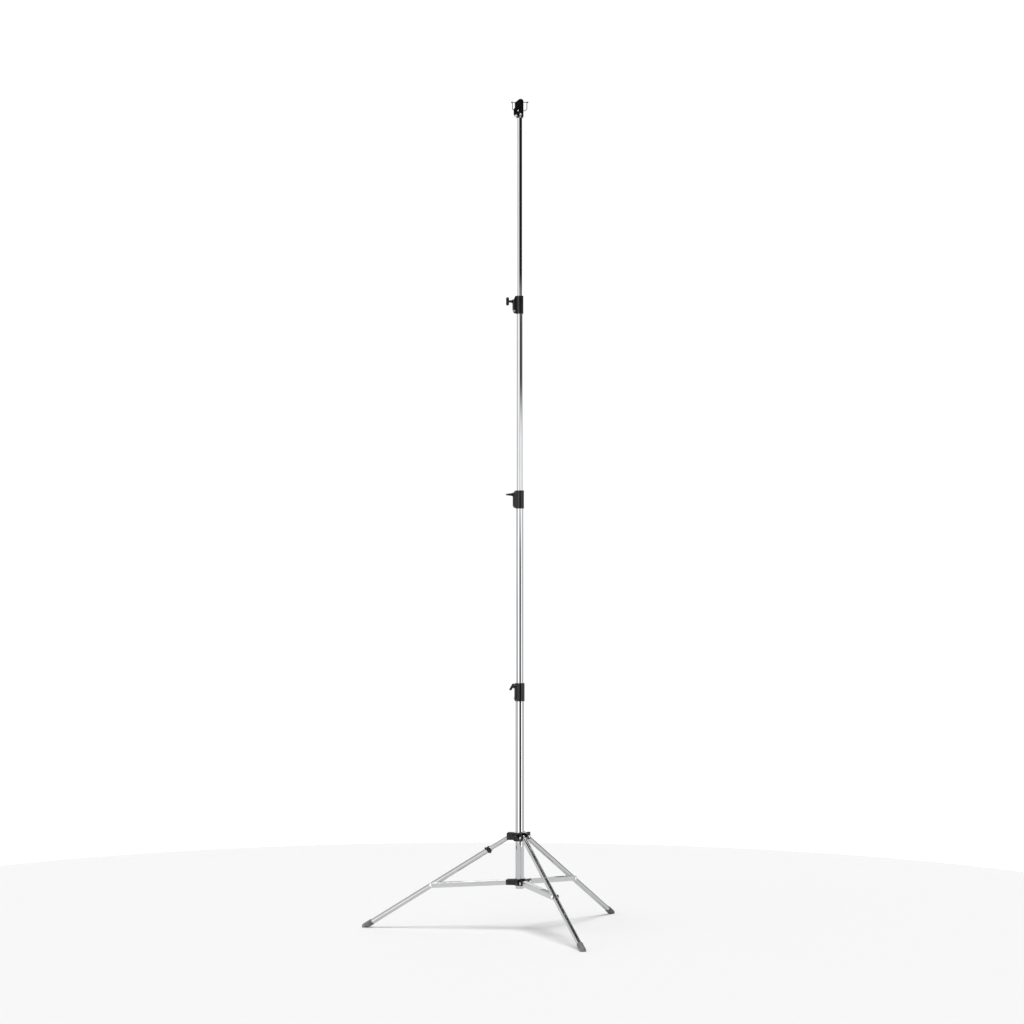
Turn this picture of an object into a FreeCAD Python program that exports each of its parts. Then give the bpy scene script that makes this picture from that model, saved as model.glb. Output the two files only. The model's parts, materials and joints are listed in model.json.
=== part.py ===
"""Tall four-section lighting stand with a folding tripod base and one levelling leg.

Millimetres, +Z up, floor at z = 0.  Every function builds its piece with the column's axis on the
Z axis; save() then moves it to column_x, so that the row's origin is the centre of the footprint.
"""
import FreeCAD, Part
import math
import os
from FreeCAD import Rotation, Vector

os.makedirs("parts", exist_ok=True)

# ---------------------------------------------------------------- driving dimensions
column_x = 160.0            # column axis, from the centre of the footprint's box
leg_azimuths = {1: 180.0, 2: -60.0, 3: 60.0}    # leg 1 is the levelling leg

# column: outside radii of the four tubes, from the base tube up
tube_radii = [17.5, 15.0, 12.5, 10.0]
tube_wall = 1.5
base_tube_low = 170.0
plug_sink = 1.0             # the plug sits this far inside the tube's end
plug_insert = 16.0
plug_web = 3.0
tube_overlap = [106.0, 100.0, 100.0]    # how far a riser reaches below its collar's top
bush_height = 30.0
bush_floor = 3.0
slide_gap = 0.08
swivel_gap = 0.05
riser_end_gap = 0.3

# riser collars, from the lowest up
collar_names = ["lower", "middle", "upper"]
collar_tops = [1006.0, 1790.0, 2582.0]
collar_height = 74.0
collar_wall = 2.7
collar_tube_stop = 42.0     # the outer tube ends this far below the collar's top
collar_lip = 4.0
collar_lip_gap = 0.4
knob_drops = [14.0, 17.0, 23.0]         # T-handle axis below the collar's top
knob_azimuths = [238.0, 208.0, 192.0]
knob_turns = [-35.0, 90.0, 0.0]         # turn of the T-handle's bar from upright
screw_sides = [-1, -1, 1]               # side of the rib that the pinch screw's head is on
rib_reach = 30.0
rib_half = 8.0
boss_reach = 34.0
boss_radius = 7.5
slit = 1.6
pinch_rise = 12.0
pinch_radius = 3.0
pinch_head = 5.0
pinch_x = 23.5

# T-handled screws
shank_radius = 4.0
hole_radius = 4.5
shoe_radius = 4.2
shoe_thick = 3.0
shoe_gap = 0.15
neck_radius = 6.0
bar_length = 34.0
bar_deep = 13.5
bar_thick = 8.0
bar_waist = 2.0
bar_start = 43.0            # inner face of the bar, from the column's axis

# head
head_azimuth = 188.0        # direction of the head's pinch lug
head_low = 3306.0
head_top = 3383.0
riser_3_top = 3326.0
socket_radius = 8.05
head_half_deep = 14.0
head_sleeve_radius = 13.6
head_pin_z = 3369.5
bail_half_width = 29.5
bail_length = 36.0
bail_corner = 8.0
bail_lean = 26.0            # degrees from hanging straight, behind the head
wire_radius = 1.5
eye_radius = 3.4
pin_radius = 1.6
pin_head_radius = 3.2
pin_head_tall = 3.2
pin_head_round = 1.6
pin_play = 2.5              # from the wire's axis to the button
pin_root = {-1: 12.0, 1: 16.0}          # inner end of each pin, from the column's axis

# tripod base
leg_pivot_r = 43.0
leg_pivot_z = 379.0
leg_drop = 32.1             # degrees below level
leg_size = 22.0             # outside diameter of legs 2 and 3 and of leg 1's outer tube
leg_wall = 1.5
leg_end = 686.0             # end of the leg tube, along the leg from its pivot
joint_along = 380.1         # brace rivet, along the leg from the leg's pivot
brace_pivot_r = 47.0
brace_pivot_z = 195.0
brace_width = 26.0
brace_tall = 20.0
brace_sheet = 1.5
web_end = 190.0             # the brace's web stops here, from its pivot at the hub
side_gap = 0.3
pivot_radius = 4.0
pivot_gap = 0.05
rivet_head_radius = 7.0
rivet_head_tall = 3.2

# levelling leg
inner_size = 18.0           # outside diameter
inner_wall = 1.5
inner_end = 358.0
outer_start = 92.0
outer_wall = 1.2
clamp_start = 90.5
clamp_end = 106.5
clamp_radius = 13.2
clamp_boss = 19.0
clamp_knob_along = 98.5
clamp_knob_turn = 18.0
glide_long = 24.0

# leg collar and brace hub
leg_collar_low = 363.0
leg_collar_tall = 35.0
leg_collar_radius = 26.0
leg_collar_bore = 19.6
leg_collar_gap = 0.1
leg_knob_azimuth = -112.0
leg_knob_z = 384.0
leg_knob_bar = 41.0
ear_thick = 4.5
leg_ear_tip = 51.5          # outer end of an ear, from the column's axis
ear_corner = 4.0
hub_low = 183.0
hub_tall = 27.0
hub_radius = 25.0
brace_ear_thick = 4.0
brace_ear_tip = 55.0
hub_screw_azimuths = [-105.0, 15.0, 135.0]
hub_screw_z = 190.5

# pivot bolts
bolt_head_radius = 5.4
bolt_head_tall = 2.6
nut_flat = 5.0              # from the nut's axis to a flat
nut_tall = 4.6
nut_bore = 3.2              # how far the bolt reaches into the nut

# feet
foot_back = 668.0           # back edge of a rubber foot, along the leg
foot_radius = 12.7
foot_ball_r = 640.0         # centre of the rounded toe, from the column's axis

UP = Vector(0, 0, 1)
X = Vector(1, 0, 0)
Y = Vector(0, 1, 0)
ORIGIN = Vector(0, 0, 0)


# ---------------------------------------------------------------- helpers
def save(name, shape):
    """Write one sub-part, moved to the row's frame."""
    if isinstance(shape, list):
        shape = Part.makeCompound(shape) if len(shape) > 1 else shape[0]
    moved = shape.translated(Vector(column_x, 0, 0))
    moved.exportStep(f"parts/{name}.step")


def turned(shape, degrees, axis=UP, centre=ORIGIN):
    copy = shape.copy()
    copy.rotate(centre, axis, degrees)
    return copy


def ring(outer, inner, low, high):
    tube = Part.makeCylinder(outer, high - low, Vector(0, 0, low))
    return tube.cut(Part.makeCylinder(inner, high - low + 2, Vector(0, 0, low - 1)))


def block(x, y, z):
    """A box from three (low, high) pairs."""
    return Part.makeBox(x[1] - x[0], y[1] - y[0], z[1] - z[0], Vector(x[0], y[0], z[0]))


def rounded(shape, radius, wanted):
    """Fillet the edges for which wanted(edge) is true."""
    edges = [edge for edge in shape.Edges if wanted(edge)]
    return shape.makeFillet(radius, edges)


def runs_along(edge, axis):
    """Whether an edge is a straight line in the direction of an axis."""
    if not isinstance(edge.Curve, (Part.Line, Part.LineSegment)):
        return False
    ends = [vertex.Point for vertex in edge.Vertexes]
    return (ends[1] - ends[0]).normalize().cross(axis).Length < 1e-6


def slab(points, half):
    """An outline in the XZ plane, given as (x, z), thickened along Y by half each way."""
    corners = [Vector(x, -half, z) for x, z in points]
    wire = Part.makePolygon(corners + corners[:1])
    return Part.Face(wire).extrude(Vector(0, 2 * half, 0))


def ear(root, tip, low, high, y_low, y_high):
    """A plate along +X with rounded outer corners."""
    plate = block((root, tip), (y_low, y_high), (low, high))
    return rounded(plate, ear_corner, lambda edge: runs_along(edge, Y) and edge.BoundBox.XMin > tip - 1)


def in_leg(shape, azimuth):
    """Move a piece drawn along +X from a leg's pivot to that leg."""
    copy = turned(shape, leg_drop, Y)
    copy.translate(Vector(leg_pivot_r, 0, leg_pivot_z))
    return turned(copy, azimuth)


def brace_joint():
    """The rivet between leg and brace, as (distance from the axis, height)."""
    angle = math.radians(leg_drop)
    return (
        leg_pivot_r + joint_along * math.cos(angle),
        leg_pivot_z - joint_along * math.sin(angle),
    )


def brace_length():
    r, z = brace_joint()
    return math.hypot(r - brace_pivot_r, z - brace_pivot_z)


def brace_drop():
    """Degrees below level of a brace at rest."""
    r, z = brace_joint()
    return math.degrees(math.atan2(brace_pivot_z - z, r - brace_pivot_r))


def in_brace(shape, azimuth):
    """Move a piece drawn along +X from a brace's pivot to that brace."""
    copy = turned(shape, brace_drop(), Y)
    copy.translate(Vector(brace_pivot_r, 0, brace_pivot_z))
    return turned(copy, azimuth)


def leg_pipe(size, wall, start, end):
    """A round tube along +X, by its outside diameter."""
    pipe = Part.makeCylinder(size / 2, end - start, Vector(start, 0, 0), X)
    return pipe.cut(Part.makeCylinder(size / 2 - wall, end - start + 2, Vector(start - 1, 0, 0), X))


def round_end(tube, half, end):
    """Keep a tube's part beyond its pivot, with a round end about the pivot."""
    body = block((0, end), (-half - 1, half + 1), (-half - 1, half + 1))
    nose = Part.makeCylinder(half, 2 * half + 2, Vector(0, -half - 1, 0), Y)
    return tube.common(body.fuse(nose))


def cross_hole(radius, at_x, half, at_z=0.0):
    return Part.makeCylinder(radius, 2 * half, Vector(at_x, -half, at_z), Y)


# ---------------------------------------------------------------- T-handled screws
def t_screw(shoe_face, boss_end, bar_from, bar_turn):
    """A T-handled screw along +X: its shank starts behind the shoe and its bar starts at bar_from."""
    shank_from = shoe_face + shoe_thick + 0.1
    shank = Part.makeCylinder(shank_radius, bar_from - shank_from, Vector(shank_from, 0, 0), X)
    neck_from = boss_end + 1.0
    neck = Part.makeCone(
        neck_radius, neck_radius - 1.2, bar_from + 1 - neck_from, Vector(neck_from, 0, 0), X
    )
    half = bar_length / 2
    inner_ends = bar_from
    outer_ends = bar_from + bar_deep
    inner = Part.Arc(
        Vector(inner_ends, 0, -half),
        Vector(inner_ends + bar_waist / 2, 0, 0),
        Vector(inner_ends, 0, half),
    ).toShape()
    outer = Part.Arc(
        Vector(outer_ends, 0, half),
        Vector(outer_ends - bar_waist, 0, 0),
        Vector(outer_ends, 0, -half),
    ).toShape()
    top = Part.makeLine(Vector(inner_ends, 0, half), Vector(outer_ends, 0, half))
    bottom = Part.makeLine(Vector(outer_ends, 0, -half), Vector(inner_ends, 0, -half))
    outline = Part.Face(Part.Wire([inner, top, outer, bottom]))
    outline.translate(Vector(0, -bar_thick / 2, 0))
    bar = outline.extrude(Vector(0, bar_thick, 0))
    bar = rounded(bar, 3.5, lambda edge: runs_along(edge, Y))
    bar = bar.makeFillet(1.6, bar.Edges)
    return turned(bar.fuse(neck).fuse(shank).removeSplitter(), bar_turn, X)


def shoe(shoe_face):
    """A brass disc along +X that the screw presses on a tube."""
    return Part.makeCylinder(shoe_radius, shoe_thick, Vector(shoe_face, 0, 0), X)


def at_height(shape, azimuth, z):
    copy = shape.translated(Vector(0, 0, z))
    return turned(copy, azimuth)


# ---------------------------------------------------------------- column
def riser_low(level):
    """Lower end of riser 1, 2 or 3."""
    return collar_tops[level - 1] - tube_overlap[level - 1]


def tube_high(level):
    """Upper end of the tube at a level, 0 for the base tube."""
    if level == 3:
        return riser_3_top
    return collar_tops[level] - collar_tube_stop


def column_tube(level):
    outer = tube_radii[level]
    low = base_tube_low if level == 0 else riser_low(level)
    return ring(outer, outer - tube_wall, low, tube_high(level))


def riser_bush(level):
    """Nylon bush round a riser's lower end, with a floor under the tube."""
    riser = tube_radii[level]
    guide = tube_radii[level - 1] - tube_wall - slide_gap
    low = riser_low(level) - riser_end_gap - bush_floor
    high = riser_low(level) + bush_height
    bush = Part.makeCylinder(guide, high - low, Vector(0, 0, low))
    seat = Part.makeCylinder(riser + swivel_gap, high, Vector(0, 0, low + bush_floor))
    drain = Part.makeCylinder(riser - 3.0, high, Vector(0, 0, low - 1))
    return bush.cut(seat).cut(drain)


def base_plug():
    """Plastic cup pressed inside the base tube's lower end."""
    inner = tube_radii[0] - tube_wall
    low = base_tube_low + plug_sink
    insert = Part.makeCylinder(inner, plug_insert, Vector(0, 0, low))
    hollow = Part.makeCylinder(inner - plug_web, plug_insert, Vector(0, 0, low + plug_web))
    return insert.cut(hollow)


def collar_rib(bottom, top, drop):
    """The rib on a collar's clamp side, with sloping shoulders."""
    knob_z = top - drop
    outline = [
        (0, bottom + 1.5),
        (20, bottom + 1.5),
        (26, bottom + 6),
        (rib_reach - 0.5, bottom + 16),
        (rib_reach, knob_z - 7),
        (rib_reach, knob_z + 5),
        (24, knob_z + 9.5),
        (18, top - 0.5),
        (0, top - 0.5),
    ]
    nose_x = rib_reach - rib_half
    plan = block((0, nose_x), (-rib_half, rib_half), (bottom, top))
    plan = plan.fuse(Part.makeCylinder(rib_half, top - bottom, Vector(nose_x, 0, bottom)))
    return slab(outline, rib_half).common(plan)


def collar(index):
    """A cast collar on the top of a tube, clamped round it by a pinch screw."""
    tube = tube_radii[index]
    riser = tube_radii[index + 1]
    top = collar_tops[index]
    bottom = top - collar_height
    knob_z = top - knob_drops[index]
    sleeve = Part.makeCylinder(tube + collar_wall, collar_height, Vector(0, 0, bottom))
    sleeve = sleeve.makeFillet(1.5, [sleeve.Edges[0], sleeve.Edges[2]])
    boss = Part.makeCylinder(boss_radius, boss_reach - 15, Vector(15, 0, knob_z), X)
    boss = boss.makeChamfer(1.2, [e for e in boss.Edges if e.BoundBox.XMin > boss_reach - 1])
    body = sleeve.fuse(collar_rib(bottom, top, knob_drops[index])).fuse(boss).removeSplitter()
    body = body.cut(Part.makeCylinder(tube, collar_height - collar_lip, Vector(0, 0, bottom)))
    body = body.cut(Part.makeCylinder(riser + collar_lip_gap, 10, Vector(0, 0, top - 6)))
    body = body.cut(Part.makeCylinder(hole_radius, boss_reach, Vector(5, 0, knob_z), X))
    gap = block((tube - 1, boss_reach), (-slit / 2, slit / 2), (bottom - 1, knob_z - 11))
    body = body.cut(gap)
    for solid in pinch_screw(index, False):
        body = body.cut(solid)
    return turned(body, knob_azimuths[index])


def pinch_screw(index, placed=True):
    """A collar's pinch screw: cheese head sunk in the rib, shank through the slit."""
    side = screw_sides[index]
    z = collar_tops[index] - collar_height + pinch_rise
    head_from = 5.5
    length = head_from + 5.5
    shank = Part.makeCylinder(pinch_radius, length, Vector(pinch_x, -side * 5.5, z), Y * side)
    head_tall = rib_half + 1.2 - head_from
    head = Part.makeCylinder(pinch_head, head_tall, Vector(pinch_x, side * head_from, z), Y * side)
    screw = shank.fuse(head)
    if not placed:
        return [screw]
    socket = hex_prism(2.5, 2.0, Vector(pinch_x, side * (rib_half + 1.3), z), Y * -side)
    return turned(screw.cut(socket).removeSplitter(), knob_azimuths[index])


def hex_prism(across, length, start, direction):
    """A hexagonal prism with the given distance from its axis to a flat."""
    corner = across / math.cos(math.radians(30))
    points = []
    for step in range(7):
        angle = math.radians(60 * step)
        points.append(Vector(corner * math.cos(angle), corner * math.sin(angle), 0))
    prism = Part.Face(Part.makePolygon(points)).extrude(Vector(0, 0, length))
    spin = Rotation(UP, direction)
    prism.Placement = FreeCAD.Placement(start, spin).multiply(prism.Placement)
    return prism


def collar_liner(index):
    """Nylon liner between a collar and its riser, with a hole for the shoe."""
    top = collar_tops[index]
    liner = ring(
        tube_radii[index],
        tube_radii[index + 1] + slide_gap,
        top - collar_tube_stop,
        top - collar_lip,
    )
    z = top - knob_drops[index]
    liner = liner.cut(Part.makeCylinder(hole_radius, boss_reach, Vector(5, 0, z), X))
    return turned(liner, knob_azimuths[index])


# ---------------------------------------------------------------- head
def head_screw_list():
    """The head's screws as (left, height, head radius); left is towards the pinch lug."""
    return [(-4.0, 3318.5, 4.4), (-2.0, 3309.5, 2.6), (6.5, 3333.0, 2.6), (14.0, 3313.5, 4.2)]


def head_screws():
    screws = []
    for x, z, radius in head_screw_list():
        front = head_half_deep
        head = Part.makeCylinder(radius, 2.4, Vector(x, front, z), Y)
        head = head.makeFillet(0.8, [e for e in head.Edges if e.BoundBox.YMin > front + 2])
        shank = Part.makeCylinder(radius * 0.55, 2.5, Vector(x, front - 2.5, z), Y)
        drive = hex_prism(radius * 0.45, 2.0, Vector(x, front + 2.5, z), Y * -1)
        screws.append(head.fuse(shank).cut(drive).removeSplitter())
    return screws


def head_outline():
    """The head seen from the front: a round horn on the right, a shoulder sloping to the lug."""
    return [
        (-15.5, head_low + 3),
        (-15.5, head_top - 9),
        (-11.5, head_top - 2.2),
        (-6, head_top),
        (1, head_top - 0.5),
        (8, head_top - 6),
        (20.5, head_pin_z - 3),
        (20.5, head_low + 40),
        (25, head_low + 35),
        (25, head_low + 14),
        (20, head_low + 7),
        (15.5, head_low + 3),
    ]


def head_body():
    """Cast head: a socket for a spigot above, clamped on the top riser below."""
    body = slab(head_outline(), head_half_deep)
    body = rounded(body, 3.0, lambda edge: not runs_along(edge, Y))
    sleeve = Part.makeCylinder(head_sleeve_radius, 40, Vector(0, 0, head_low))
    body = body.fuse(sleeve)
    lug_side = block((17.5, 30), (9, 20), (head_low, head_low + 42))
    body = body.cut(lug_side).cut(lug_side.mirror(ORIGIN, Y))
    body = body.cut(Part.makeCylinder(tube_radii[3], riser_3_top - head_low, Vector(0, 0, head_low)))
    socket_low = riser_3_top - 5
    body = body.cut(Part.makeCylinder(socket_radius, 80, Vector(0, 0, socket_low)))
    body = body.cut(block((6, 30), (-slit / 2, slit / 2), (head_low - 1, head_low + 38)))
    for x, z, radius in head_screw_list():
        hole = Part.makeCylinder(radius * 0.55, 2.5, Vector(x, head_half_deep - 2.5, z), Y)
        body = body.cut(hole)
    for side in (-1, 1):
        body = body.cut(bail_pin(side))
    return body.removeSplitter()


def bail_pin(side):
    """A pin pressed in the head's side, with a rounded button that keeps the bail on."""
    inner = pin_root[side]
    outer = bail_half_width + pin_play
    pin = Part.makeCylinder(pin_radius, outer - inner, Vector(side * inner, 0, head_pin_z), X * side)
    start = Vector(side * outer, 0, head_pin_z)
    button = Part.makeCylinder(pin_head_radius, pin_head_tall, start, X * side)
    button = button.makeFillet(pin_head_round, [button.Edges[0]])
    return pin.fuse(button).removeSplitter()


def wire_bail():
    """A wire bail: two eyes on the pins, two arms and a crosswire with slanting corners."""
    half = bail_half_width
    arm_end = bail_length - bail_corner
    corners = [
        Vector(-half, 0, -eye_radius + wire_radius),
        Vector(-half, 0, -arm_end),
        Vector(-half + bail_corner, 0, -bail_length),
        Vector(half - bail_corner, 0, -bail_length),
        Vector(half, 0, -arm_end),
        Vector(half, 0, -eye_radius + wire_radius),
    ]
    pieces = []
    for start, end in zip(corners[:-1], corners[1:]):
        run = end - start
        pieces.append(Part.makeCylinder(wire_radius, run.Length, start, run))
    for corner in corners[1:-1]:
        pieces.append(Part.makeSphere(wire_radius, corner))
    for side in (-1, 1):
        start = Vector(side * half - wire_radius, 0, 0)
        pieces.append(Part.makeCylinder(eye_radius, 2 * wire_radius, start, X))
    wire = pieces[0].multiFuse(pieces[1:])
    for side in (-1, 1):
        start = Vector(side * half - 3, 0, 0)
        wire = wire.cut(Part.makeCylinder(pin_radius + pivot_gap, 6, start, X))
    wire = turned(wire.removeSplitter(), -bail_lean, X)
    return wire.translated(Vector(0, 0, head_pin_z))


# ---------------------------------------------------------------- leg collar and brace hub
def ear_pair(root, tip, low, high, inner_half, thick):
    """Two ears along +X, each side of a gap of twice inner_half."""
    ears = []
    for side in (-1, 1):
        near = side * inner_half
        far = side * (inner_half + thick)
        ears.append(ear(root, tip, low, high, min(near, far), max(near, far)))
    return ears


def leg_ear_gap(leg):
    size = inner_size if leg == 1 else leg_size
    return size / 2 + side_gap


def leg_collar():
    """Cast collar that slides on the base tube, with a pair of ears for each leg."""
    high = leg_collar_low + leg_collar_tall
    body = Part.makeCylinder(leg_collar_radius, leg_collar_tall, Vector(0, 0, leg_collar_low))
    body = body.makeFillet(1.5, [body.Edges[0], body.Edges[2]])
    for leg, azimuth in leg_azimuths.items():
        thick = leg_size / 2 + side_gap + ear_thick - leg_ear_gap(leg)
        pair = ear_pair(15, leg_ear_tip, leg_collar_low + 5, high, leg_ear_gap(leg), thick)
        for plate in pair:
            body = body.fuse(turned(plate, azimuth))
    boss = Part.makeCylinder(boss_radius, leg_knob_bar - 10 - 15, Vector(15, 0, leg_knob_z), X)
    body = body.fuse(turned(boss, leg_knob_azimuth))
    body = body.cut(Part.makeCylinder(leg_collar_bore, 60, Vector(0, 0, leg_collar_low - 5)))
    hole = Part.makeCylinder(hole_radius, 40, Vector(5, 0, leg_knob_z), X)
    body = body.cut(turned(hole, leg_knob_azimuth))
    for azimuth in leg_azimuths.values():
        pivot = cross_hole(pivot_radius, leg_pivot_r, 20, leg_pivot_z)
        body = body.cut(turned(pivot, azimuth))
    return body.removeSplitter()


def leg_collar_liner():
    liner = ring(
        leg_collar_bore,
        tube_radii[0] + leg_collar_gap,
        leg_collar_low,
        leg_collar_low + leg_collar_tall,
    )
    hole = Part.makeCylinder(hole_radius, 40, Vector(5, 0, leg_knob_z), X)
    return liner.cut(turned(hole, leg_knob_azimuth))


def pivot_bolt(half, r, z):
    """A pivot bolt across a pair of ears: domed head outside one ear, its end in a cap nut."""
    reach = half + nut_bore
    bolt = Part.makeCylinder(pivot_radius, half + reach, Vector(r, -half, z), Y)
    head = Part.makeCylinder(bolt_head_radius, bolt_head_tall, Vector(r, -half, z), Y * -1)
    rim = [e for e in head.Edges if e.BoundBox.YMax < -half - bolt_head_tall + 0.1]
    head = head.makeFillet(bolt_head_tall - 0.8, rim)
    return bolt.fuse(head).removeSplitter()


def cap_nut(half, r, z):
    """The closed hexagonal nut on a pivot bolt's end."""
    nut = hex_prism(nut_flat, nut_tall, Vector(r, half, z), Y)
    dome = Part.makeCone(nut_flat + 1.2, nut_flat - 1.0, nut_tall, Vector(r, half, z), Y)
    bore = Part.makeCylinder(pivot_radius, nut_bore, Vector(r, half, z), Y)
    return nut.common(dome).cut(bore)


def leg_pin_half():
    return leg_size / 2 + side_gap + ear_thick


def brace_pin_half():
    return brace_width / 2 + side_gap + brace_ear_thick


def brace_hub():
    """Cast hub on the base tube's lower end, with a pair of ears for each brace."""
    body = Part.makeCylinder(hub_radius, hub_tall, Vector(0, 0, hub_low))
    body = body.makeFillet(1.5, [body.Edges[0], body.Edges[2]])
    for azimuth in leg_azimuths.values():
        gap = brace_width / 2 + side_gap
        pair = ear_pair(12, brace_ear_tip, hub_low + 2, hub_low + hub_tall - 3, gap, brace_ear_thick)
        for plate in pair:
            body = body.fuse(turned(plate, azimuth))
    for azimuth in hub_screw_azimuths:
        pad = Part.makeCylinder(7, 12, Vector(20, 0, hub_screw_z), X)
        body = body.fuse(turned(pad, azimuth))
    body = body.cut(Part.makeCylinder(tube_radii[0], 60, Vector(0, 0, hub_low - 5)))
    for azimuth in hub_screw_azimuths:
        body = body.cut(turned(hub_screw(), azimuth))
    for azimuth in leg_azimuths.values():
        pivot = cross_hole(pivot_radius, brace_pivot_r, 25, brace_pivot_z)
        body = body.cut(turned(pivot, azimuth))
    return body.removeSplitter()


def hub_screw():
    """A cheese-headed screw along +X that pins the hub to the tube."""
    shank = Part.makeCylinder(3, 14, Vector(tube_radii[0], 0, hub_screw_z), X)
    head = Part.makeCylinder(5, 4, Vector(tube_radii[0] + 14, 0, hub_screw_z), X)
    return shank.common(block((tube_radii[0] + 0.5, 60), (-9, 9), (150, 220))).fuse(head)


def hub_screws():
    screws = []
    socket_from = Vector(tube_radii[0] + 18.1, 0, hub_screw_z)
    for azimuth in hub_screw_azimuths:
        screw = hub_screw().cut(hex_prism(2.5, 2.2, socket_from, X * -1))
        screws.append(turned(screw.removeSplitter(), azimuth))
    return screws


# ---------------------------------------------------------------- legs and braces
def pivot_hole(tube, half):
    return tube.cut(cross_hole(pivot_radius + pivot_gap, 0, half + 5))


def leg_tube(azimuth):
    half = leg_size / 2
    tube = round_end(leg_pipe(leg_size, leg_wall, -half - 1, leg_end), half, leg_end)
    tube = pivot_hole(tube, half).cut(cross_hole(pivot_radius, joint_along, half + 1))
    return in_leg(tube, azimuth)


def leg_rivet(azimuth):
    """Rivet shank through a leg, flush with the leg's sides."""
    return in_leg(cross_hole(pivot_radius, joint_along, leg_size / 2), azimuth)


def foot(azimuth):
    """Rubber boot on a leg's end with a round toe, cut flat by the floor."""
    angle = math.radians(leg_drop)
    ball_along = (foot_ball_r - leg_pivot_r) / math.cos(angle)
    boot = Part.makeCylinder(foot_radius, ball_along - foot_back, Vector(foot_back, 0, 0), X)
    boot = boot.makeFillet(1.0, [e for e in boot.Edges if e.BoundBox.XMax < foot_back + 0.1])
    boot = boot.fuse(Part.makeSphere(foot_radius, Vector(ball_along, 0, 0)))
    boot = boot.cut(Part.makeCylinder(leg_size / 2, leg_end, ORIGIN, X))
    boot = in_leg(boot.removeSplitter(), azimuth)
    return boot.cut(turned(block((500, 700), (-50, 50), (-50, 0)), azimuth))


def channel(length):
    """A channel along +X, open below, whose web stops short of the far end."""
    half = brace_tall / 2
    wide = brace_width / 2
    inner = wide - brace_sheet
    body = block((-half, length + half), (-wide, wide), (-half, half))
    body = rounded(body, 1.4, lambda edge: runs_along(edge, X) and edge.BoundBox.ZMin > 0)
    body = body.cut(block((-half - 1, length + half + 1), (-inner, inner), (-half - 1, half - brace_sheet)))
    window = block((web_end, length + half + 1), (-inner, inner), (-half - 1, half + 1))
    body = body.cut(window)
    keep = block((0, length), (-wide - 1, wide + 1), (-half - 1, half + 1))
    for end in (0, length):
        keep = keep.fuse(Part.makeCylinder(half, 2 * wide + 2, Vector(end, -wide - 1, 0), Y))
    return body.common(keep)


def brace(azimuth):
    length = brace_length()
    body = channel(length)
    body = body.cut(cross_hole(pivot_radius + pivot_gap, 0, 20))
    body = body.cut(cross_hole(pivot_radius, length, 20))
    return in_brace(body, azimuth)


def brace_rivet_heads(azimuth):
    """The two ends of a rivet that stay with the brace: stub and domed head."""
    length = brace_length()
    wide = brace_width / 2
    inner = wide - brace_sheet
    heads = []
    for side in (-1, 1):
        stub = Part.makeCylinder(pivot_radius, brace_sheet, Vector(length, side * inner, 0), Y * side)
        head = Part.makeCylinder(
            rivet_head_radius, rivet_head_tall, Vector(length, side * wide, 0), Y * side
        )
        rim = [e for e in head.Edges if e.BoundBox.YLength < 0.1]
        rim = [e for e in rim if abs(e.BoundBox.YMin - side * (wide + rivet_head_tall)) < 0.1]
        head = head.makeFillet(rivet_head_tall - 0.6, rim)
        heads.append(in_brace(stub.fuse(head).removeSplitter(), azimuth))
    return heads


# ---------------------------------------------------------------- levelling leg
def leg_1_inner():
    half = inner_size / 2
    tube = round_end(leg_pipe(inner_size, inner_wall, -half - 1, inner_end), half, inner_end)
    return in_leg(pivot_hole(tube, half), leg_azimuths[1])


def leg_1_outer():
    half = leg_size / 2
    tube = leg_pipe(leg_size, outer_wall, outer_start, leg_end)
    tube = tube.cut(cross_hole(pivot_radius, joint_along, half + 1))
    knob = Part.makeCylinder(hole_radius, 20, Vector(clamp_knob_along, 0, 0), Y)
    return in_leg(tube.cut(knob), leg_azimuths[1])


def leg_1_glide():
    """Nylon glide round the inner tube's lower end."""
    outer = leg_size / 2 - outer_wall - slide_gap
    start = inner_end - glide_long
    body = Part.makeCylinder(outer, glide_long, Vector(start, 0, 0), X)
    return in_leg(body.cut(Part.makeCylinder(inner_size / 2, inner_end, ORIGIN, X)), leg_azimuths[1])


def leg_1_clamp():
    """Clamp ring round the outer tube's upper end, with a lip down to the inner tube."""
    length = clamp_end - clamp_start
    body = Part.makeCylinder(clamp_radius, length, Vector(clamp_start, 0, 0), X)
    body = body.makeFillet(1.0, [e for e in body.Edges if e.BoundBox.XLength < 0.01])
    boss = Part.makeCylinder(boss_radius - 0.5, clamp_boss, Vector(clamp_knob_along, 0, 0), Y)
    body = body.fuse(boss)
    body = body.cut(Part.makeCylinder(leg_size / 2, length, Vector(outer_start, 0, 0), X))
    body = body.cut(Part.makeCylinder(inner_size / 2 + side_gap, outer_start, ORIGIN, X))
    body = body.cut(Part.makeCylinder(hole_radius, 40, Vector(clamp_knob_along, 0, 0), Y))
    return in_leg(body.removeSplitter(), leg_azimuths[1])


def on_leg_1_clamp(shape):
    """Move a piece drawn along +X from the leg's middle to the clamp's screw axis."""
    copy = turned(shape, 90.0)
    copy.translate(Vector(clamp_knob_along, 0, 0))
    return in_leg(copy, leg_azimuths[1])


# ---------------------------------------------------------------- the sub-parts
def build_column():
    save("base_tube", column_tube(0))
    save("base_plug", base_plug())
    for level in (1, 2, 3):
        save(f"riser_{level}_tube", column_tube(level))
        save(f"riser_{level}_bush", riser_bush(level))
    for index, name in enumerate(collar_names):
        knob_z = collar_tops[index] - knob_drops[index]
        azimuth = knob_azimuths[index]
        face = tube_radii[index + 1] + shoe_gap
        save(f"{name}_collar", collar(index))
        save(f"{name}_collar_liner", collar_liner(index))
        save(f"{name}_collar_screw", pinch_screw(index))
        save(f"{name}_shoe", at_height(shoe(face), azimuth, knob_z))
        screw = t_screw(face, boss_reach, bar_start, knob_turns[index])
        save(f"{name}_knob", at_height(screw, azimuth, knob_z))


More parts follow.
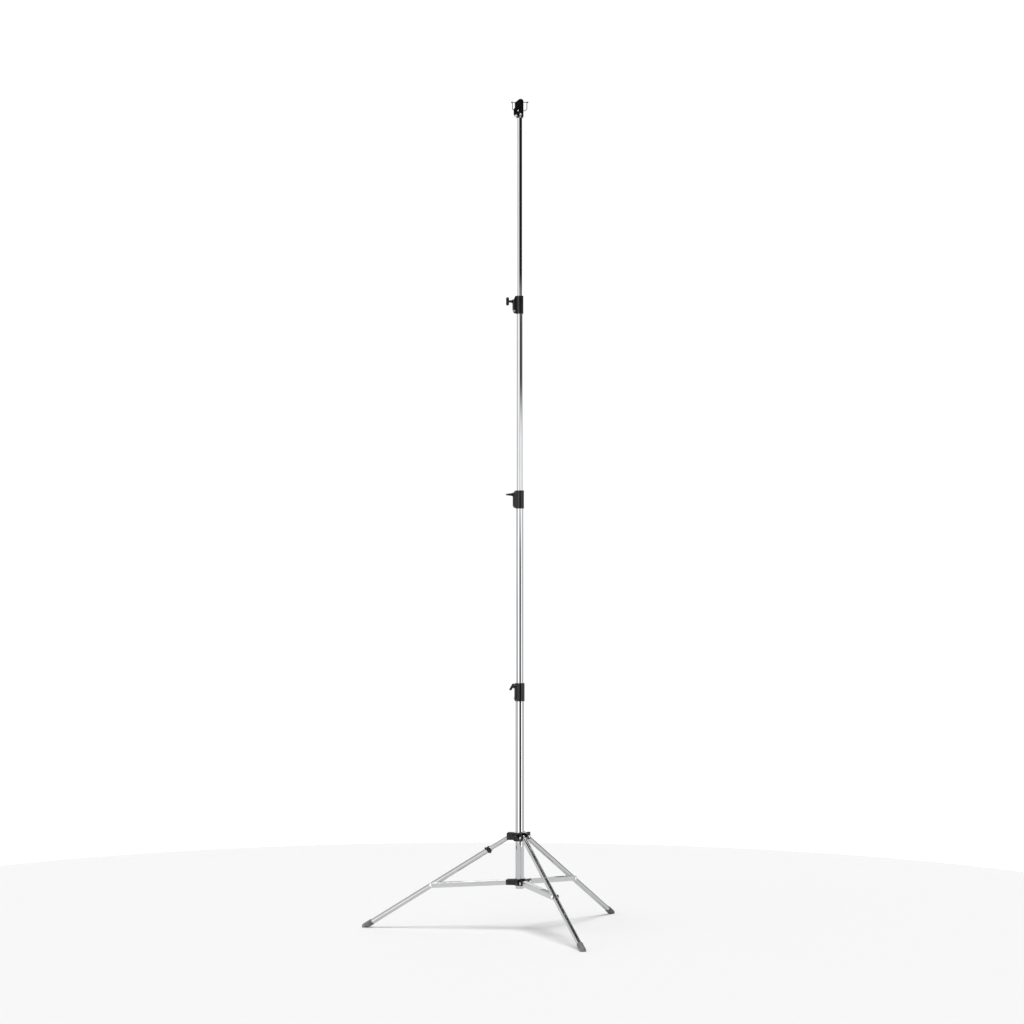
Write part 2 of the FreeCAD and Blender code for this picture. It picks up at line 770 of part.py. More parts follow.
def build_head():
    save("head_body", turned(head_body(), head_azimuth))
    save("head_screws", [turned(screw, head_azimuth) for screw in head_screws()])
    save("bail_pins", [turned(bail_pin(side), head_azimuth) for side in (-1, 1)])
    save("wire_bail", turned(wire_bail(), head_azimuth))


def three(name, shape):
    """Save one copy of a piece for each leg."""
    save(name, [turned(shape, azimuth) for azimuth in leg_azimuths.values()])


def build_base():
    save("leg_collar", leg_collar())
    save("leg_collar_liner", leg_collar_liner())
    three("leg_pivot_bolts", pivot_bolt(leg_pin_half(), leg_pivot_r, leg_pivot_z))
    three("leg_pivot_nuts", cap_nut(leg_pin_half(), leg_pivot_r, leg_pivot_z))
    face = tube_radii[0] + shoe_gap
    save("leg_collar_shoe", at_height(shoe(face), leg_knob_azimuth, leg_knob_z))
    screw = t_screw(face, leg_knob_bar - 10, leg_knob_bar, 90.0)
    save("leg_collar_knob", at_height(screw, leg_knob_azimuth, leg_knob_z))
    save("brace_hub", brace_hub())
    save("hub_screws", hub_screws())
    three("brace_pivot_bolts", pivot_bolt(brace_pin_half(), brace_pivot_r, brace_pivot_z))
    three("brace_pivot_nuts", cap_nut(brace_pin_half(), brace_pivot_r, brace_pivot_z))
    for leg, azimuth in leg_azimuths.items():
        save(f"brace_{leg}", brace(azimuth))
        save(f"brace_{leg}_rivet_heads", brace_rivet_heads(azimuth))
        save(f"leg_{leg}_rivet", leg_rivet(azimuth))
        save(f"foot_{leg}", foot(azimuth))
    for leg in (2, 3):
        save(f"leg_{leg}_tube", leg_tube(leg_azimuths[leg]))


def build_levelling_leg():
    save("leg_1_inner_tube", leg_1_inner())
    save("leg_1_outer_tube", leg_1_outer())
    save("leg_1_glide", leg_1_glide())
    save("leg_1_clamp", leg_1_clamp())
    face = inner_size / 2 + shoe_gap
    save("leg_1_shoe", on_leg_1_clamp(shoe(face)))
    screw = t_screw(face, clamp_boss, clamp_boss + 6, clamp_knob_turn)
    save("leg_1_knob", on_leg_1_clamp(screw))


build_column()
build_head()
build_base()
build_levelling_leg()
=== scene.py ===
"""Tall lighting stand: materials, refined pieces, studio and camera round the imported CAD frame."""
import json
import math

import bpy
from mathutils import Euler, Matrix, Vector


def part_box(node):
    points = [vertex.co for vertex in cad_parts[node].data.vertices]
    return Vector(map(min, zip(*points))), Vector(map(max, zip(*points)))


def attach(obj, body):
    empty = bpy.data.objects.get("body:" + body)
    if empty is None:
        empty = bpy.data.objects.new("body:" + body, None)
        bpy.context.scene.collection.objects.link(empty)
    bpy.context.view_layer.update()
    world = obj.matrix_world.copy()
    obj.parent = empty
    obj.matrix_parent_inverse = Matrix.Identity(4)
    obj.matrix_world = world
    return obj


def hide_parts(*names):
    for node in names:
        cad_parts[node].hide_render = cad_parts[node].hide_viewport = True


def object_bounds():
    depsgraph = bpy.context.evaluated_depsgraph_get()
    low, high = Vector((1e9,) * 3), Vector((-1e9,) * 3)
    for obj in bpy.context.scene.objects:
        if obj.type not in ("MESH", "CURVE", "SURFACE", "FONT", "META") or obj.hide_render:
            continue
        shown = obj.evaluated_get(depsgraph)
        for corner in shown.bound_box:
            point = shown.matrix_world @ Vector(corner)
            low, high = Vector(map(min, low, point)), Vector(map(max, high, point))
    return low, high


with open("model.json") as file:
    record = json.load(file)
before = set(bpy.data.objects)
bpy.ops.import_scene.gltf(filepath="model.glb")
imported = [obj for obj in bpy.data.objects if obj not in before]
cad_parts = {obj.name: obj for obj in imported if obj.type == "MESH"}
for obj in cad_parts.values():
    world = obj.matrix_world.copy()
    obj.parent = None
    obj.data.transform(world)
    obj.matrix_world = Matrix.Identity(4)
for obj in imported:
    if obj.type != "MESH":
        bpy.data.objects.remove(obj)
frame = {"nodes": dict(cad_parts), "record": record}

cad_low, cad_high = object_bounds()

# ---------------------------------------------------------------- places on the stand, metres
COLUMN = (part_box("base_tube")[0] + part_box("base_tube")[1]) / 2
COLUMN_X, COLUMN_Y = COLUMN.x, COLUMN.y
LEG_DROP = math.radians(32.1)
LEG_AZIMUTHS = {1: 180.0, 2: -60.0, 3: 60.0}
LEG_PIVOT_R = 0.043
LEG_PIVOT_Z = 0.379
MM = 0.001

# ---------------------------------------------------------------- T-handles, millimetres and degrees
COLUMN_HANDLES = {
    # node: azimuth, height, turn, then the clamp's face, the collar and the bar out from the axis
    "lower_knob": (238.0, 992.0, -35.0, 15.15, 34.0, 43.0),
    "middle_knob": (208.0, 1773.0, 90.0, 12.65, 34.0, 43.0),
    "upper_knob": (192.0, 2559.0, 0.0, 10.15, 34.0, 43.0),
    "leg_collar_knob": (-112.0, 384.0, 90.0, 17.65, 31.0, 41.0),
}
LEG_HANDLE_ALONG = 98.5
LEG_HANDLE_TURN = 18.0
LEG_HANDLE = (9.15, 19.0, 25.0)

# ---------------------------------------------------------------- rubber boots, millimetres
BOOT_BORE_RADIUS = 11.02
BOOT_MOUTH_RADIUS = 12.1
BOOT_RADIUS = 12.65
BOOT_MOUTH, BOOT_BORE_END = 668.0, 686.0
BOOT_CHAMFER = 0.6
BOOT_GROOVES, BOOT_GROOVES_FROM, BOOT_GROOVE_PITCH = 3, 672.0, 6.5
BOOT_GROOVE_RADIUS = 11.9
BOOT_BALL = 704.7

# ---------------------------------------------------------------- head screws, millimetres
HEAD_FACE = 14.0
SCREW_START = 11.5
SCREW_RIM = 0.7
SCREW_DOME = 1.65
SCREW_DOME_STEPS = 9
SCREW_SOCKET_TOP, SCREW_SOCKET_FLOOR = 16.38, 15.0
HEAD_AZIMUTH = 188.0
HEAD_SCREWS = (
    # place to the side, height, radius
    (-4.0, 3318.5, 4.4), (-2.0, 3309.5, 2.6), (6.5, 3333.0, 2.6), (14.0, 3313.5, 4.2)
)

# ---------------------------------------------------------------- camera
CAMERA_OFFSET = Vector((1.595, -12.064, 1.702))
CAMERA_YAW = math.radians(7.679)
CAMERA_PITCH = math.radians(90.0)
CAMERA_REACH = 200.0
LENS_MM = 105.1
SENSOR_MM = 36.0

# ---------------------------------------------------------------- studio light and floor
# Bearings and heights are in degrees: bearing 0 is towards the camera, 90 is to its right.
SURROUND_LIGHT = 0.95
SURROUND_SEEN = 1.05
SOFT_BOX_BEARINGS = ((-48, -20), (34, 62))
SOFT_BOX_HEIGHTS = (-14, 16)
SOFT_BOX_GAIN = 1.3
DARK_PATCHES = (
    # bearings, heights, softness of each, depth
    ((-1, 40), (-25, -0.3), (1.5, 0.9), 1.0),
    ((6, 98), (2.0, 4.2), (4.0, 0.6), 0.95),
    ((-26, 140), (4.1, 24.0), (5.0, 0.5), 0.985),
    ((118, 155), (-12, 0.0), (4.0, 0.6), 0.35),
    ((-90, -55), (-14, -1.5), (4.0, 0.6), 0.22),
)
CEILING_HEIGHTS = (46, 120)
CEILING_DEPTH = 0.93
SUN_ENERGY = 3.1
SUN_WIDTH = math.radians(34.0)
SUN_TILT = (math.radians(14.0), math.radians(-10.0), 0.0)
FLOOR_RADIUS = 3.2
FLOOR_SIDES = 96
FLOOR_GAP = 0.0002


# ---------------------------------------------------------------- node helpers
class Tree:
    """A short way of writing shader nodes."""

    def __init__(self, owner):
        owner.use_nodes = True
        self.nodes = owner.node_tree.nodes
        self.links = owner.node_tree.links
        self.nodes.clear()

    def add(self, kind, **settings):
        node = self.nodes.new(kind)
        for key, value in settings.items():
            setattr(node, key, value)
        return node

    def feed(self, socket, value):
        """Link an output to a socket, or set the socket to a constant."""
        if isinstance(value, bpy.types.NodeSocket):
            self.links.new(value, socket)
        else:
            socket.default_value = value

    def math(self, operation, *values, clamp=False):
        node = self.add("ShaderNodeMath", operation=operation, use_clamp=clamp)
        for socket, value in zip(node.inputs, values):
            self.feed(socket, value)
        return node.outputs[0]

    def span(self, value, low, high, to_low=0.0, to_high=1.0):
        """Smoothly map low..high to to_low..to_high."""
        node = self.add("ShaderNodeMapRange", interpolation_type="SMOOTHSTEP")
        for socket, item in zip(node.inputs, (value, low, high, to_low, to_high)):
            self.feed(socket, item)
        return node.outputs[0]

    def noise(self, vector, scale, detail=3.0, rough=0.5):
        node = self.add("ShaderNodeTexNoise")
        self.feed(node.inputs["Vector"], vector)
        node.inputs["Scale"].default_value = scale
        node.inputs["Detail"].default_value = detail
        node.inputs["Roughness"].default_value = rough
        return node.outputs["Fac"]

    def stretched(self, along=None, squeeze=1.0):
        """Object coordinates, turned so that Z runs along a direction and squeezed along it."""
        node = self.add("ShaderNodeMapping", vector_type="TEXTURE")
        self.feed(node.inputs["Vector"], self.add("ShaderNodeTexCoord").outputs["Object"])
        if along is not None:
            spin = Vector(along).to_track_quat("Z", "Y").to_euler()
            node.inputs["Rotation"].default_value = spin
        node.inputs["Scale"].default_value = (1.0, 1.0, squeeze)
        return node.outputs["Vector"]

    def blend(self, factor, first, second):
        """Mix two colours, each an output or a plain RGB triple."""
        node = self.add("ShaderNodeMix", data_type="RGBA")
        self.feed(node.inputs["Factor"], factor)
        for side, colour in (("A", first), ("B", second)):
            self.feed(node.inputs[side], (*colour, 1.0) if isinstance(colour, tuple) else colour)
        return node.outputs["Result"]

    def bump(self, heights):
        """Stack (height, strength, distance) bumps."""
        normal = None
        for height, strength, distance in heights:
            node = self.add("ShaderNodeBump")
            node.inputs["Strength"].default_value = strength
            node.inputs["Distance"].default_value = distance
            self.feed(node.inputs["Height"], height)
            if normal is not None:
                self.feed(node.inputs["Normal"], normal)
            normal = node.outputs["Normal"]
        return normal

    def surface(self, colour, rough, normal, metallic=0.0, **constants):
        shader = self.add("ShaderNodeBsdfPrincipled")
        self.feed(shader.inputs["Base Color"], colour)
        self.feed(shader.inputs["Roughness"], rough)
        self.feed(shader.inputs["Normal"], normal)
        shader.inputs["Metallic"].default_value = metallic
        for key, value in constants.items():
            shader.inputs[key.replace("_", " ")].default_value = value
        out = self.add("ShaderNodeOutputMaterial")
        self.links.new(shader.outputs["BSDF"], out.inputs["Surface"])


def material(name):
    made = bpy.data.materials.new(name)
    return made, Tree(made)


# ---------------------------------------------------------------- materials
def chrome(name, along):
    """Bright chrome on drawn tube: faint draw lines, wiping marks and a few dull specks."""
    made, tree = material(name)
    long_grain = tree.stretched(along, 60.0)
    plain = tree.stretched()
    lines = tree.noise(long_grain, 900.0, 4.0, 0.6)
    wipes = tree.noise(plain, 14.0, 4.0, 0.55)
    specks = tree.noise(plain, 1500.0, 2.0)
    rough = tree.span(wipes, 0.35, 0.75, 0.012, 0.035)
    rough = tree.math("ADD", rough, tree.span(specks, 0.72, 0.8, 0.0, 0.05))
    haze = tree.math("MULTIPLY", tree.span(lines, 0.3, 0.8), tree.span(wipes, 0.3, 0.8))
    colour = tree.blend(haze, (0.55, 0.555, 0.565), (0.48, 0.485, 0.5))
    normal = tree.bump([(lines, 0.003, 0.0001)])
    tree.surface(colour, rough, normal, metallic=1.0)
    return made


def bright_sheet(name, along):
    """Zinc-bright sheet steel: satin rolling lines, dull patches and fine scratches."""
    made, tree = material(name)
    rolled = tree.stretched(along, 40.0)
    plain = tree.stretched()
    lines = tree.noise(rolled, 1200.0, 5.0, 0.65)
    patches = tree.noise(plain, 35.0, 4.0, 0.6)
    scratches = tree.span(tree.noise(rolled, 260.0, 2.0), 0.62, 0.68)
    rough = tree.span(patches, 0.3, 0.75, 0.16, 0.24)
    rough = tree.math("SUBTRACT", rough, tree.math("MULTIPLY", scratches, 0.05))
    colour = tree.blend(tree.span(lines, 0.25, 0.8), (0.60, 0.605, 0.61), (0.54, 0.545, 0.55))
    normal = tree.bump([(lines, 0.03, 0.0002), (scratches, 0.03, 0.0001)])
    tree.surface(colour, rough, normal, metallic=1.0)
    return made


def fastener_steel(name, light, dull):
    """Plated or blackened screw and pin heads: turned lines and small dents."""
    made, tree = material(name)
    plain = tree.stretched()
    fine = tree.noise(plain, 2200.0, 3.0, 0.6)
    dents = tree.noise(plain, 420.0, 2.0)
    rough = tree.span(dents, 0.35, 0.7, 0.22, 0.4)
    colour = tree.blend(tree.span(fine, 0.3, 0.75), light, dull)
    normal = tree.bump([(fine, 0.12, 0.0002), (dents, 0.15, 0.0004)])
    tree.surface(colour, rough, normal, metallic=1.0)
    return made


def black_casting(name):
    """Black powder coat on a casting: orange peel, fine grit and dull handling marks."""
    made, tree = material(name)
    plain = tree.stretched()
    peel = tree.noise(plain, 620.0, 2.0, 0.45)
    grit = tree.noise(plain, 2600.0, 3.0, 0.7)
    marks = tree.noise(plain, 60.0, 5.0, 0.65)
    rough = tree.span(marks, 0.3, 0.72, 0.11, 0.2)
    chips = tree.math("MULTIPLY", tree.span(grit, 0.68, 0.74), tree.span(marks, 0.55, 0.7))
    shade = tree.blend(tree.span(marks, 0.3, 0.8), (0.003, 0.003, 0.0033), (0.007, 0.007, 0.0075))
    worn = tree.blend(chips, shade, (0.07, 0.07, 0.073))
    normal = tree.bump([(peel, 0.07, 0.0004), (grit, 0.05, 0.0001)])
    tree.surface(worn, rough, normal, Specular_IOR_Level=0.42)
    return made


def moulded_plastic(name, dark, light, low_rough=0.42, high_rough=0.6):
    """Spark-textured moulded plastic with rubbed, shinier places."""
    made, tree = material(name)
    plain = tree.stretched()
    spark = tree.noise(plain, 3200.0, 2.0, 0.6)
    rubbed = tree.noise(plain, 90.0, 4.0, 0.6)
    rough = tree.span(rubbed, 0.32, 0.7, high_rough, low_rough)
    colour = tree.blend(tree.span(rubbed, 0.3, 0.75), dark, light)
    normal = tree.bump([(spark, 0.25, 0.0002), (rubbed, 0.05, 0.0006)])
    tree.surface(colour, rough, normal, Specular_IOR_Level=0.3)
    return made


def rubber(name):
    """Grey rubber: dusty high spots, scuffs towards the floor and a matt, pitted skin."""
    made, tree = material(name)
    plain = tree.stretched()
    pits = tree.noise(plain, 1400.0, 4.0, 0.7)
    dust = tree.noise(plain, 70.0, 6.0, 0.7)
    place = tree.add("ShaderNodeSeparateXYZ")
    tree.feed(place.inputs[0], plain)
    low_down = tree.span(place.outputs["Z"], 0.0, 0.022, 1.0, 0.0)
    scuffed = tree.math("MULTIPLY", low_down, tree.span(dust, 0.4, 0.6))
    dusty = tree.math("MAXIMUM", tree.span(dust, 0.45, 0.8, 0.0, 0.7), scuffed)
    colour = tree.blend(dusty, (0.12, 0.12, 0.122), (0.26, 0.255, 0.25))
    rough = tree.span(dust, 0.3, 0.75, 0.6, 0.88)
    normal = tree.bump([(pits, 0.35, 0.0003), (dust, 0.12, 0.0008)])
    tree.surface(colour, rough, normal, Specular_IOR_Level=0.35)
    return made


def brass(name):
    """Turned brass, a little tarnished."""
    made, tree = material(name)
    plain = tree.stretched()
    tarnish = tree.noise(plain, 300.0, 5.0, 0.6)
    fine = tree.noise(plain, 2500.0, 3.0, 0.6)
    rough = tree.span(tarnish, 0.3, 0.7, 0.2, 0.4)
    colour = tree.blend(tree.span(tarnish, 0.35, 0.75), (0.72, 0.5, 0.2), (0.42, 0.27, 0.11))
    normal = tree.bump([(fine, 0.15, 0.0002)])
    tree.surface(colour, rough, normal, metallic=1.0)
    return made


def leg_direction(azimuth, drop=LEG_DROP):
    """The unit vector down a leg, or level along its brace when there is no drop."""
    turn = math.radians(azimuth)
    level = math.cos(drop)
    return (level * math.cos(turn), level * math.sin(turn), -math.sin(drop))


CHROME_COLUMN = chrome("chrome_column", None)
CHROME_LEGS = {n: chrome(f"chrome_leg_{n}", leg_direction(a)) for n, a in LEG_AZIMUTHS.items()}
SHEET = {
    n: bright_sheet(f"bright_sheet_{n}", leg_direction(a, 0.0)) for n, a in LEG_AZIMUTHS.items()
}
STEEL = fastener_steel("plated_steel", (0.95, 0.945, 0.93), (0.8, 0.8, 0.79))
DARK_STEEL = fastener_steel("blackened_steel", (0.05, 0.05, 0.053), (0.1, 0.1, 0.105))
CASTING = black_casting("black_powder_coat")
KNOB = moulded_plastic("black_moulded_knob", (0.005, 0.005, 0.005), (0.011, 0.011, 0.0115))
PLASTIC = moulded_plastic("black_moulded_plastic", (0.008, 0.008, 0.008), (0.016, 0.016, 0.016))
NYLON = moulded_plastic("natural_nylon", (0.62, 0.6, 0.54), (0.72, 0.7, 0.65), 0.35, 0.5)
RUBBER = rubber("grey_rubber")
BRASS = brass("turned_brass")

SLOT_MATERIALS = {
    "chrome_tube": CHROME_COLUMN,
    "chrome_sheet": SHEET[1],
    "chrome_fastener": STEEL,
    "black_fastener": DARK_STEEL,
    "black_casting": CASTING,
    "knob_plastic": KNOB,
    "black_plastic": PLASTIC,
    "foot_rubber": RUBBER,
    "brass": BRASS,
    "nylon": NYLON,
}
SLOT_OF = {part["node"]: part["material_slot"] for part in frame["record"]["subparts"]}


def finish_for(node):
    """A node's material: legs and braces take the one whose grain runs along them."""
    slot = SLOT_OF[node]
    for leg in LEG_AZIMUTHS:
        if slot == "chrome_tube" and node.startswith(f"leg_{leg}_"):
            return CHROME_LEGS[leg]
        if slot == "chrome_sheet" and node.startswith(f"brace_{leg}"):
            return SHEET[leg]
    return SLOT_MATERIALS[slot]


for name, node in frame["nodes"].items():
    node.data.materials.clear()
    node.data.materials.append(finish_for(name))


# ---------------------------------------------------------------- refined pieces
def hexagonal(turn):
    """A hexagon's radius at an angle, for a flat at unit distance."""
    part = (turn + math.pi / 6) % (math.pi / 3) - math.pi / 6
    return 1.0 / math.cos(part)


def loft(rings):
    """Vertices and faces of a closed skin through rings of equal length."""
    count = len(rings[0])
    points = [point for ring in rings for point in ring]
    faces = [tuple(reversed(range(count)))]
    for level in range(len(rings) - 1):
        low = level * count
        for side in range(count):
            after = (side + 1) % count
            faces.append((low + side, low + after, low + count + after, low + count + side))
    last = (len(rings) - 1) * count
    faces.append(tuple(range(last, last + count)))
    return points, faces


def lathe(profile, sides=64):
    """A turned shape along +X from (distance, radius, is_hexagonal) stations."""
    rings = []
    for along, radius, six in profile:
        ring = []
        for side in range(sides):
            turn = 2.0 * math.pi * side / sides
            reach = radius * hexagonal(turn) if six else radius
            ring.append((along, reach * math.cos(turn), reach * math.sin(turn)))
        rings.append(ring)
    return loft(rings)


def together(*shapes):
    """Several closed skins as one shape."""
    points, faces = [], []
    for more_points, more_faces in shapes:
        start = len(points)
        points += more_points
        faces += [tuple(index + start for index in face) for face in more_faces]
    return points, faces


def piece(name, shape, place, look, node, sharp=40.0):
    """A refined piece in millimetres, put in place of one CAD node."""
    points, faces = shape
    mesh = bpy.data.meshes.new(name)
    mesh.from_pydata([place @ (Vector(point) * MM) for point in points], [], faces)
    mesh.shade_smooth()
    mesh.set_sharp_from_angle(angle=math.radians(sharp))
    mesh.materials.append(look)
    made = bpy.data.objects.new(name, mesh)
    bpy.context.scene.collection.objects.link(made)
    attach(made, BODY_OF[node])
    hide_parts(node)
    return made


def handle_bar(start):
    """The T-handle's bar, upright at a distance along +X: waisted, round-ended, ribbed."""
    half_long, half_deep, half_thick = 17.0, 6.75, 4.0
    rib_pitch, ribs_from, ribs_to = 2.6, 4.0, 15.0
    stations, sides = 72, 40
    squareness, thinnest = 3.2, 0.02
    rings = []
    for station in range(stations + 1):
        along = -math.cos(math.pi * station / stations)
        height = half_long * along
        end = (1.0 - min(1.0, abs(along)) ** 7) ** 0.5
        waist = 0.9 + 0.1 * along * along
        grip = 0.5 - 0.5 * math.cos(2.0 * math.pi * height / rib_pitch)
        groove = 0.1 * grip if ribs_from < abs(height) < ribs_to else 0.0
        deep = max(thinnest, half_deep * end * waist)
        thick = max(thinnest, half_thick * end * (0.94 + 0.06 * along * along - groove))
        middle = start + half_deep - 0.3 * (1.0 - along * along)
        ring = []
        for side in range(sides):
            turn = 2.0 * math.pi * side / sides
            cos, sin = math.cos(turn), math.sin(turn)
            corner = abs(cos) ** squareness + abs(sin) ** squareness
            round_off = corner ** (-1.0 / squareness)
            ring.append((middle + deep * round_off * cos, thick * round_off * sin, height))
        rings.append(ring)
    return loft(rings)


def handle(face, boss, bar):
    """A T-handle along +X: a neck just off the clamp's face, a collar on it, the bar."""
    neck_gap = 3.1
    neck = face + neck_gap
    stem = lathe([
        (neck, 3.4, False), (neck + 0.6, 4.0, False), (boss + 1.0, 4.0, False),
        (boss + 1.0, 5.4, False), (boss + 1.5, 5.95, False), (boss + 2.8, 5.95, False),
        (boss + 3.3, 5.2, False), (bar - 2.4, 4.5, False), (bar - 0.4, 4.9, False),
        (bar + 2.2, 5.6, False), (bar + 6.5, 3.2, False),
    ])
    return together(stem, handle_bar(bar))


def column_place(azimuth, height, turn):
    """From a piece drawn along +X out of the column's axis to its place, in metres."""
    return (
        Matrix.Translation((COLUMN_X, COLUMN_Y, height * MM))
        @ Matrix.Rotation(math.radians(azimuth), 4, "Z")
        @ Matrix.Rotation(math.radians(turn), 4, "X")
    )


def leg_place(azimuth):
    """From a piece drawn along +X out of a leg's pivot to that leg, in metres."""
    return (
        Matrix.Translation((COLUMN_X, COLUMN_Y, 0.0))
        @ Matrix.Rotation(math.radians(azimuth), 4, "Z")
        @ Matrix.Translation((LEG_PIVOT_R, 0.0, LEG_PIVOT_Z))
        @ Matrix.Rotation(LEG_DROP, 4, "Y")
    )


def make_handles():
    """The four T-handles on the column and the one on the levelling leg."""
    for node, (azimuth, height, turn, *stations) in COLUMN_HANDLES.items():
        place = column_place(azimuth, height, turn)
        piece(f"{node}_moulded", handle(*stations), place, KNOB, node)
    place = (
        leg_place(LEG_AZIMUTHS[1])
        @ Matrix.Translation((LEG_HANDLE_ALONG * MM, 0.0, 0.0))
        @ Matrix.Rotation(math.radians(90.0), 4, "Z")
        @ Matrix.Rotation(math.radians(LEG_HANDLE_TURN), 4, "X")
    )
    piece("leg_1_knob_moulded", handle(*LEG_HANDLE), place, KNOB, "leg_1_knob")


def make_feet():
    """Rubber boots: a mouth round the tube, grip grooves and a ball toe flattened on the floor."""
    profile = [
        (BOOT_BORE_END, 0.0), (BOOT_BORE_END, BOOT_BORE_RADIUS), (BOOT_MOUTH, BOOT_BORE_RADIUS),
        (BOOT_MOUTH, BOOT_MOUTH_RADIUS), (BOOT_MOUTH + BOOT_CHAMFER, BOOT_RADIUS),
    ]
    floor_from, floor_to, groove_to = 0.7, 2.1, 2.8
    for groove in range(BOOT_GROOVES):
        start = BOOT_GROOVES_FROM + BOOT_GROOVE_PITCH * groove
        profile += [
            (start, BOOT_RADIUS), (start + floor_from, BOOT_GROOVE_RADIUS),
            (start + floor_to, BOOT_GROOVE_RADIUS), (start + groove_to, BOOT_RADIUS),
        ]
    steps, sides, tip = 16, 72, 0.01
    for step in range(1, steps + 1):
        turn = math.pi / 2 * step / steps
        profile.append((BOOT_BALL + BOOT_RADIUS * math.sin(turn), BOOT_RADIUS * math.cos(turn)))
    shape = lathe([(along, max(reach, tip), False) for along, reach in profile], sides)
    for leg, azimuth in LEG_AZIMUTHS.items():
        boot = piece(f"foot_{leg}_boot", shape, leg_place(azimuth), RUBBER, f"foot_{leg}")
        for vertex in boot.data.vertices:
            vertex.co.z = max(vertex.co.z, cad_low.z)


def make_head_screws():
    """Domed socket screws on the head's front."""
    rim = HEAD_FACE + SCREW_RIM
    screws = []
    for aside, height, radius in HEAD_SCREWS:
        profile = [
            (SCREW_START, radius * 0.55, False), (HEAD_FACE, radius * 0.55, False),
            (HEAD_FACE, radius, False), (rim, radius, False),
        ]
        for step in range(1, SCREW_DOME_STEPS):
            turn = math.pi / 2 * step / SCREW_DOME_STEPS
            reach = radius * (0.52 + 0.48 * math.cos(turn))
            profile.append((rim + SCREW_DOME * math.sin(turn), reach, False))
        profile += [
            (SCREW_SOCKET_TOP, radius * 0.5, True), (SCREW_SOCKET_FLOOR, radius * 0.48, True)
        ]
        points, faces = lathe(profile, 48)
        screws.append(([(-y + aside, x, z + height) for x, y, z in points], faces))
    place = column_place(HEAD_AZIMUTH, 0.0, 0.0)
    piece("head_screws_domed", together(*screws), place, STEEL, "head_screws", 50.0)


BODY_OF = {
    node: body for body, nodes in frame["record"]["behaviour"]["bodies"].items() for node in nodes
}
make_handles()
make_feet()
make_head_screws()


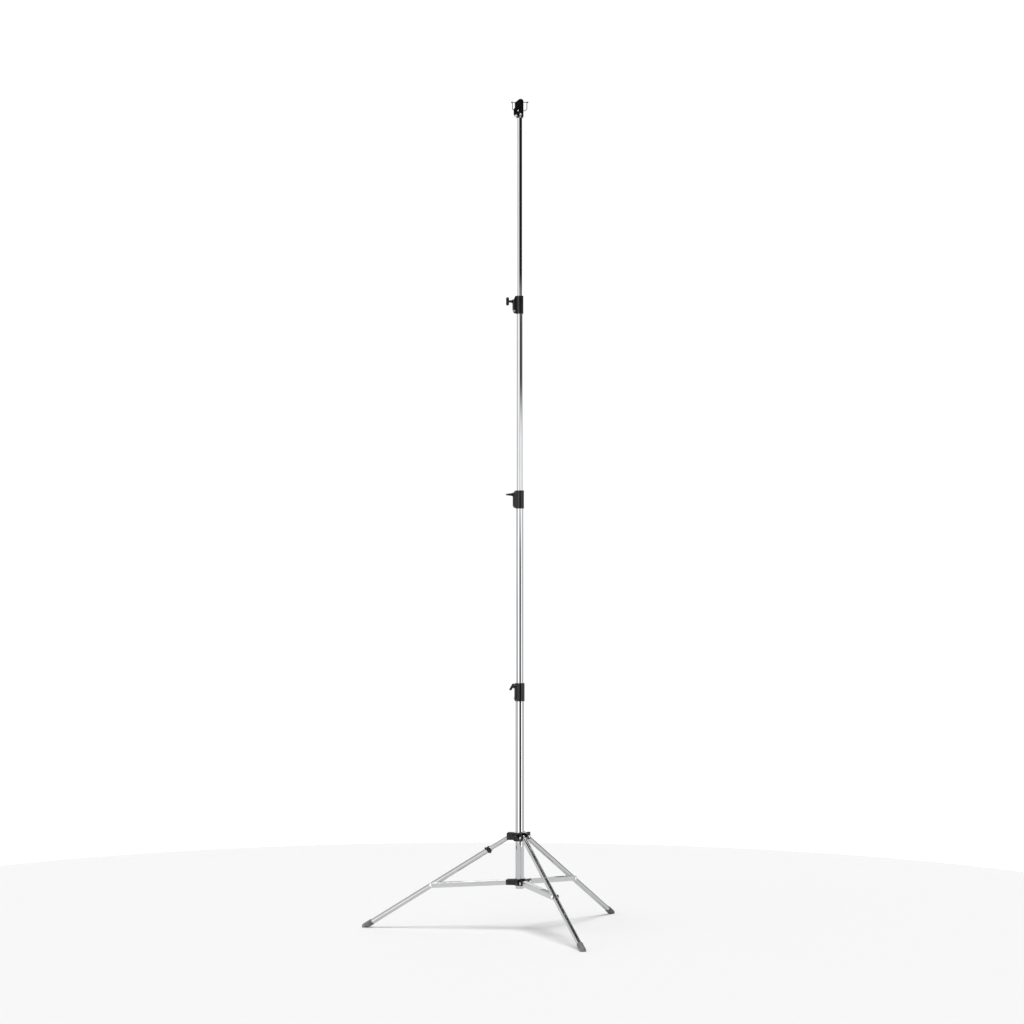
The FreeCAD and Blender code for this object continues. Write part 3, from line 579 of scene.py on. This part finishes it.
# ---------------------------------------------------------------- studio
def studio_world():
    """White surroundings for the eye; for reflections, soft boxes and the dark gaps between."""
    world = bpy.data.worlds.new("studio")
    bpy.context.scene.world = world
    tree = Tree(world)
    direction = tree.add("ShaderNodeSeparateXYZ")
    tree.feed(direction.inputs[0], tree.add("ShaderNodeTexCoord").outputs["Generated"])
    x, y, z = direction.outputs
    turn = math.atan2(CAMERA_OFFSET.x, -CAMERA_OFFSET.y)
    cos, sin = math.cos(turn), math.sin(turn)
    right = tree.math("ADD", tree.math("MULTIPLY", x, cos), tree.math("MULTIPLY", y, sin))
    front = tree.math("SUBTRACT", tree.math("MULTIPLY", x, sin), tree.math("MULTIPLY", y, cos))
    bearing = tree.math("DEGREES", tree.math("ARCTAN2", right, front))
    height = tree.math("DEGREES", tree.math("ARCSINE", z))

    def band(value, low, high, soft):
        """1 between low and high, falling smoothly to 0 outside."""
        rise = tree.span(value, low - soft, low + soft)
        fall = tree.span(value, high - soft, high + soft, 1.0, 0.0)
        return tree.math("MULTIPLY", rise, fall)

    bright = tree.math("ADD", *(band(bearing, *ends, 4.0) for ends in SOFT_BOX_BEARINGS))
    bright = tree.math("MULTIPLY", bright, band(height, *SOFT_BOX_HEIGHTS, 3.0))
    level = tree.math("MULTIPLY_ADD", bright, SOFT_BOX_GAIN, SURROUND_LIGHT)
    dark = []
    for bearings, heights, (soft_turn, soft_height), depth in DARK_PATCHES:
        sideways, upright = band(bearing, *bearings, soft_turn), band(height, *heights, soft_height)
        dark.append((tree.math("MULTIPLY", sideways, upright), depth))
    dark.append((band(height, *CEILING_HEIGHTS, 6.0), CEILING_DEPTH))
    for shape, depth in dark:
        keep = tree.math("MULTIPLY_ADD", shape, -depth, 1.0)
        level = tree.math("MULTIPLY", level, keep)
    seen = tree.add("ShaderNodeLightPath").outputs["Is Camera Ray"]
    strength = tree.math("MAXIMUM", level, tree.math("MULTIPLY", seen, SURROUND_SEEN))
    background = tree.add("ShaderNodeBackground")
    tree.feed(background.inputs["Strength"], strength)
    background.inputs["Color"].default_value = (1.0, 1.0, 1.0, 1.0)
    out = tree.add("ShaderNodeOutputWorld")
    tree.links.new(background.outputs[0], out.inputs["Surface"])


def studio_floor():
    """A plain pale round floor; past its rim the white surroundings carry on."""
    mesh = bpy.data.meshes.new("studio_floor")
    turns = [2.0 * math.pi * side / FLOOR_SIDES for side in range(FLOOR_SIDES)]
    rim = [(FLOOR_RADIUS * math.cos(turn), FLOOR_RADIUS * math.sin(turn), 0.0) for turn in turns]
    mesh.from_pydata(rim, [], [tuple(range(FLOOR_SIDES))])
    floor = bpy.data.objects.new("studio_floor", mesh)
    bpy.context.scene.collection.objects.link(floor)
    floor.location.z = cad_low.z - FLOOR_GAP
    made, tree = material("pale_floor")
    grain = tree.noise(tree.stretched(), 40.0, 4.0)
    colour = tree.blend(grain, (0.66, 0.66, 0.66), (0.68, 0.68, 0.68))
    tree.surface(colour, 0.85, tree.bump([(grain, 0.02, 0.001)]), Specular_IOR_Level=0.1)
    mesh.materials.append(made)


def studio_sun():
    """One wide soft overhead light, for the gentle shadow under the base."""
    lamp = bpy.data.lights.new("overhead_soft", "SUN")
    lamp.energy = SUN_ENERGY
    lamp.angle = SUN_WIDTH
    sun = bpy.data.objects.new("overhead_soft", lamp)
    sun.rotation_euler = SUN_TILT
    bpy.context.scene.collection.objects.link(sun)


def studio_camera():
    """The photographer's place: level, well back, with a long lens."""
    data = bpy.data.cameras.new("camera")
    data.sensor_width = SENSOR_MM
    data.lens = LENS_MM
    data.clip_end = CAMERA_REACH
    camera = bpy.data.objects.new("camera", data)
    camera.location = Vector((COLUMN_X, COLUMN_Y, 0.0)) + CAMERA_OFFSET
    camera.rotation_euler = Euler((CAMERA_PITCH, 0.0, CAMERA_YAW))
    bpy.context.scene.collection.objects.link(camera)
    bpy.context.scene.camera = camera


studio_world()
studio_floor()
studio_sun()
studio_camera()
bpy.context.scene.view_settings.view_transform = "Standard"
